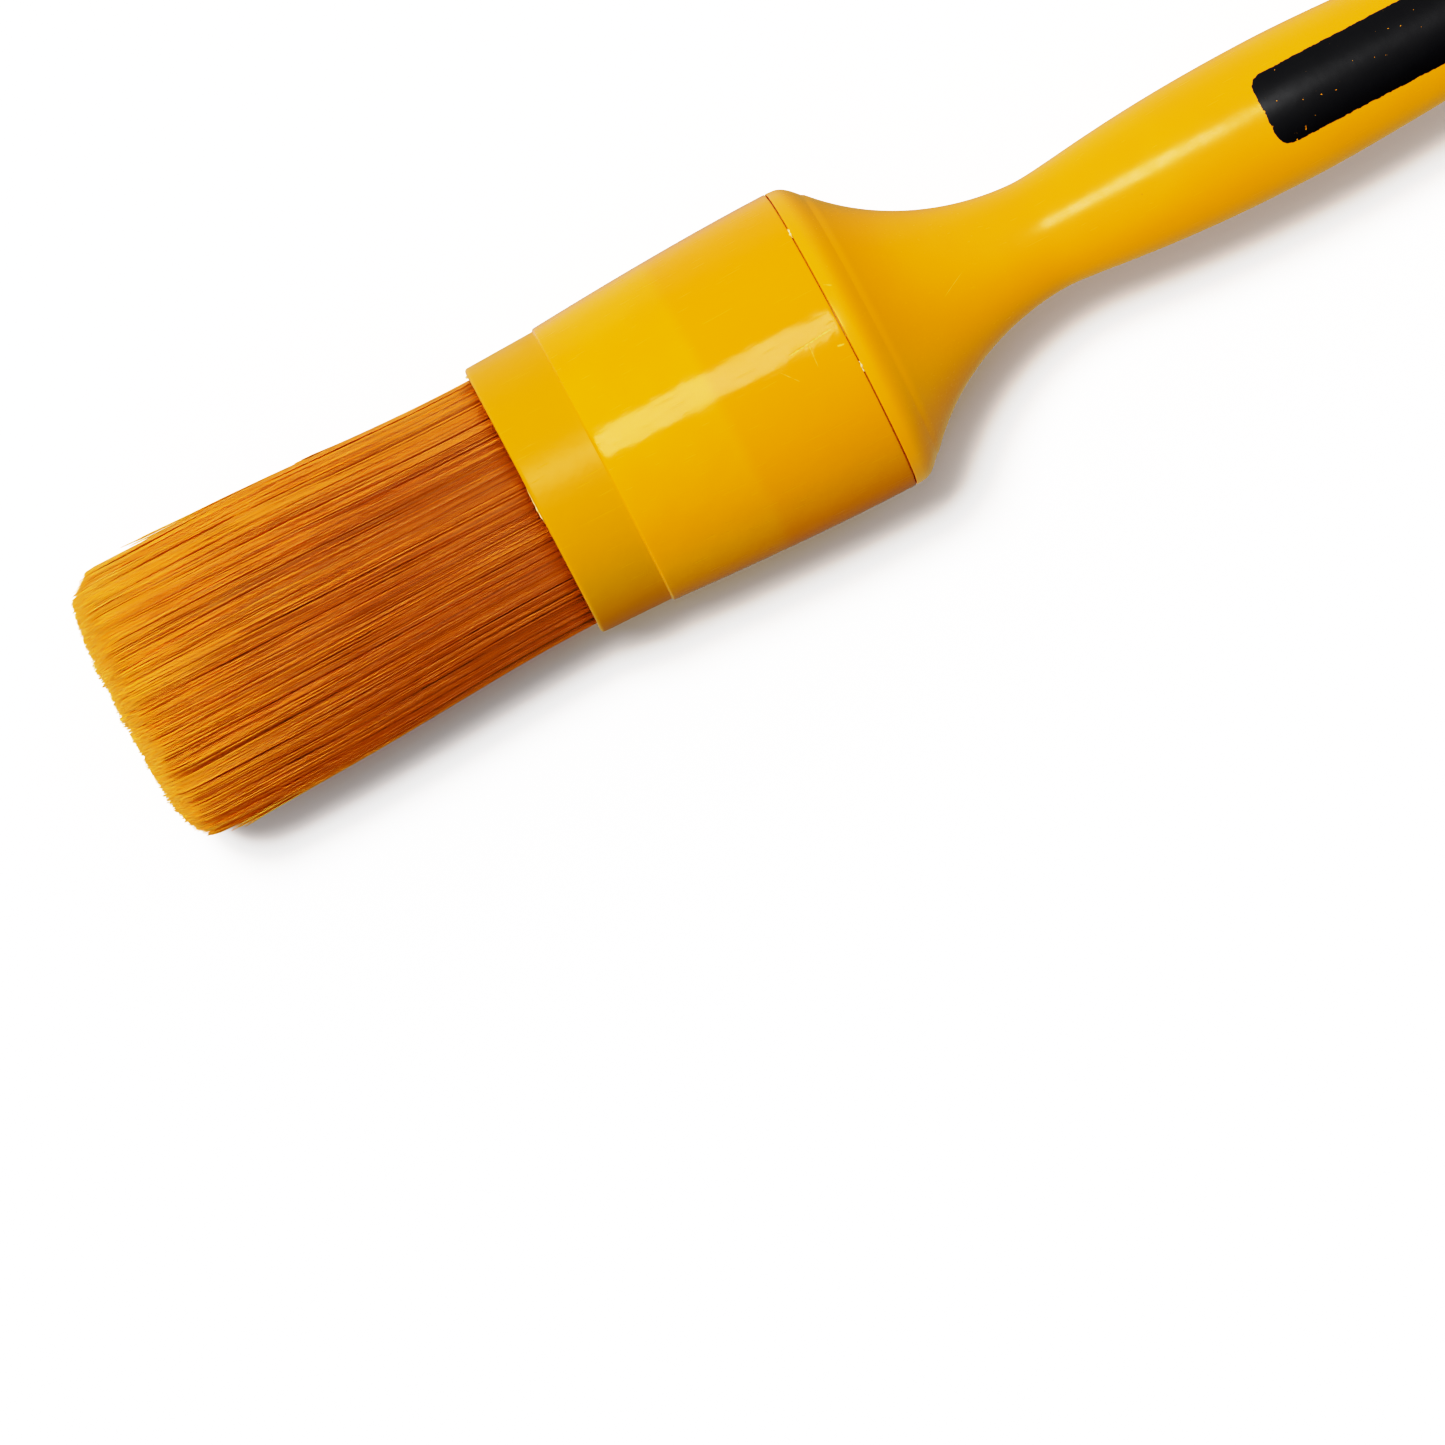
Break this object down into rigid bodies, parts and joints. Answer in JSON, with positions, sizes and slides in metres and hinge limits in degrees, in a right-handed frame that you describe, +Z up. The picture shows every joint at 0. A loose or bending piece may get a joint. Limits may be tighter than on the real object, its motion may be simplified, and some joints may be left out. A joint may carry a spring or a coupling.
{
  "type": "round stencil brush",
  "caption": "Round brush with a thick bundle of straight, flat-cut plastic bristles in a moulded plastic ferrule, on a slim plastic handle with a hang hole.",
  "frame": {"origin": "centre of the bounding box's base, on the surface that the brush lies on", "axes": "+X towards the end of the handle, +Z up from the surface that the brush lies on, -X towards the tips. The brush's own axis leans 1.23 degrees, tips down."},
  "size_m": [0.2392, 0.0358, 0.0359],
  "materials": {
    "handle": "satin",
    "ferrule": "gloss",
    "resin": "satin",
    "bristle": "satin"
  },
  "bodies": {
    "root": {"handle": "handle", "ferrule": "ferrule", "resin_plug": "resin"},
    "bristles": {"bristle_lock_01": "bristle", "bristle_lock_02": "bristle", "bristle_lock_03": "bristle", "bristle_lock_04": "bristle", "bristle_lock_05": "bristle", "bristle_lock_06": "bristle", "bristle_lock_07": "bristle", "bristle_lock_08": "bristle", "bristle_lock_09": "bristle", "bristle_lock_10": "bristle", "bristle_lock_11": "bristle", "bristle_lock_12": "bristle", "bristle_lock_13": "bristle", "bristle_lock_14": "bristle", "bristle_lock_15": "bristle", "bristle_lock_16": "bristle", "bristle_lock_17": "bristle", "bristle_lock_18": "bristle", "bristle_lock_19": "bristle", "bristle_lock_20": "bristle", "bristle_lock_21": "bristle", "bristle_lock_22": "bristle", "bristle_lock_23": "bristle", "bristle_lock_24": "bristle", "bristle_lock_25": "bristle", "bristle_lock_26": "bristle", "bristle_lock_27": "bristle", "bristle_lock_28": "bristle", "bristle_lock_29": "bristle", "bristle_lock_30": "bristle", "bristle_lock_31": "bristle", "bristle_lock_32": "bristle", "bristle_lock_33": "bristle", "bristle_lock_34": "bristle", "bristle_lock_35": "bristle"}
  },
  "joints": [
    {"name": "bristle_bend", "type": "hinge", "parent": "root", "child": "bristles", "pos_m": [-0.0682, 0, 0.01716], "axis": [-0.0215, 0, 0.9998], "range_deg": [-30, 30], "stiffness_Nm_per_rad": 0.3, "deforming": ["bristle_lock_01", "bristle_lock_02", "bristle_lock_03", "bristle_lock_04", "bristle_lock_05", "bristle_lock_06", "bristle_lock_07", "bristle_lock_08", "bristle_lock_09", "bristle_lock_10", "bristle_lock_11", "bristle_lock_12", "bristle_lock_13", "bristle_lock_14", "bristle_lock_15", "bristle_lock_16", "bristle_lock_17", "bristle_lock_18", "bristle_lock_19", "bristle_lock_20", "bristle_lock_21", "bristle_lock_22", "bristle_lock_23", "bristle_lock_24", "bristle_lock_25", "bristle_lock_26", "bristle_lock_27", "bristle_lock_28", "bristle_lock_29", "bristle_lock_30", "bristle_lock_31", "bristle_lock_32", "bristle_lock_33", "bristle_lock_34", "bristle_lock_35"]}
  ]
}
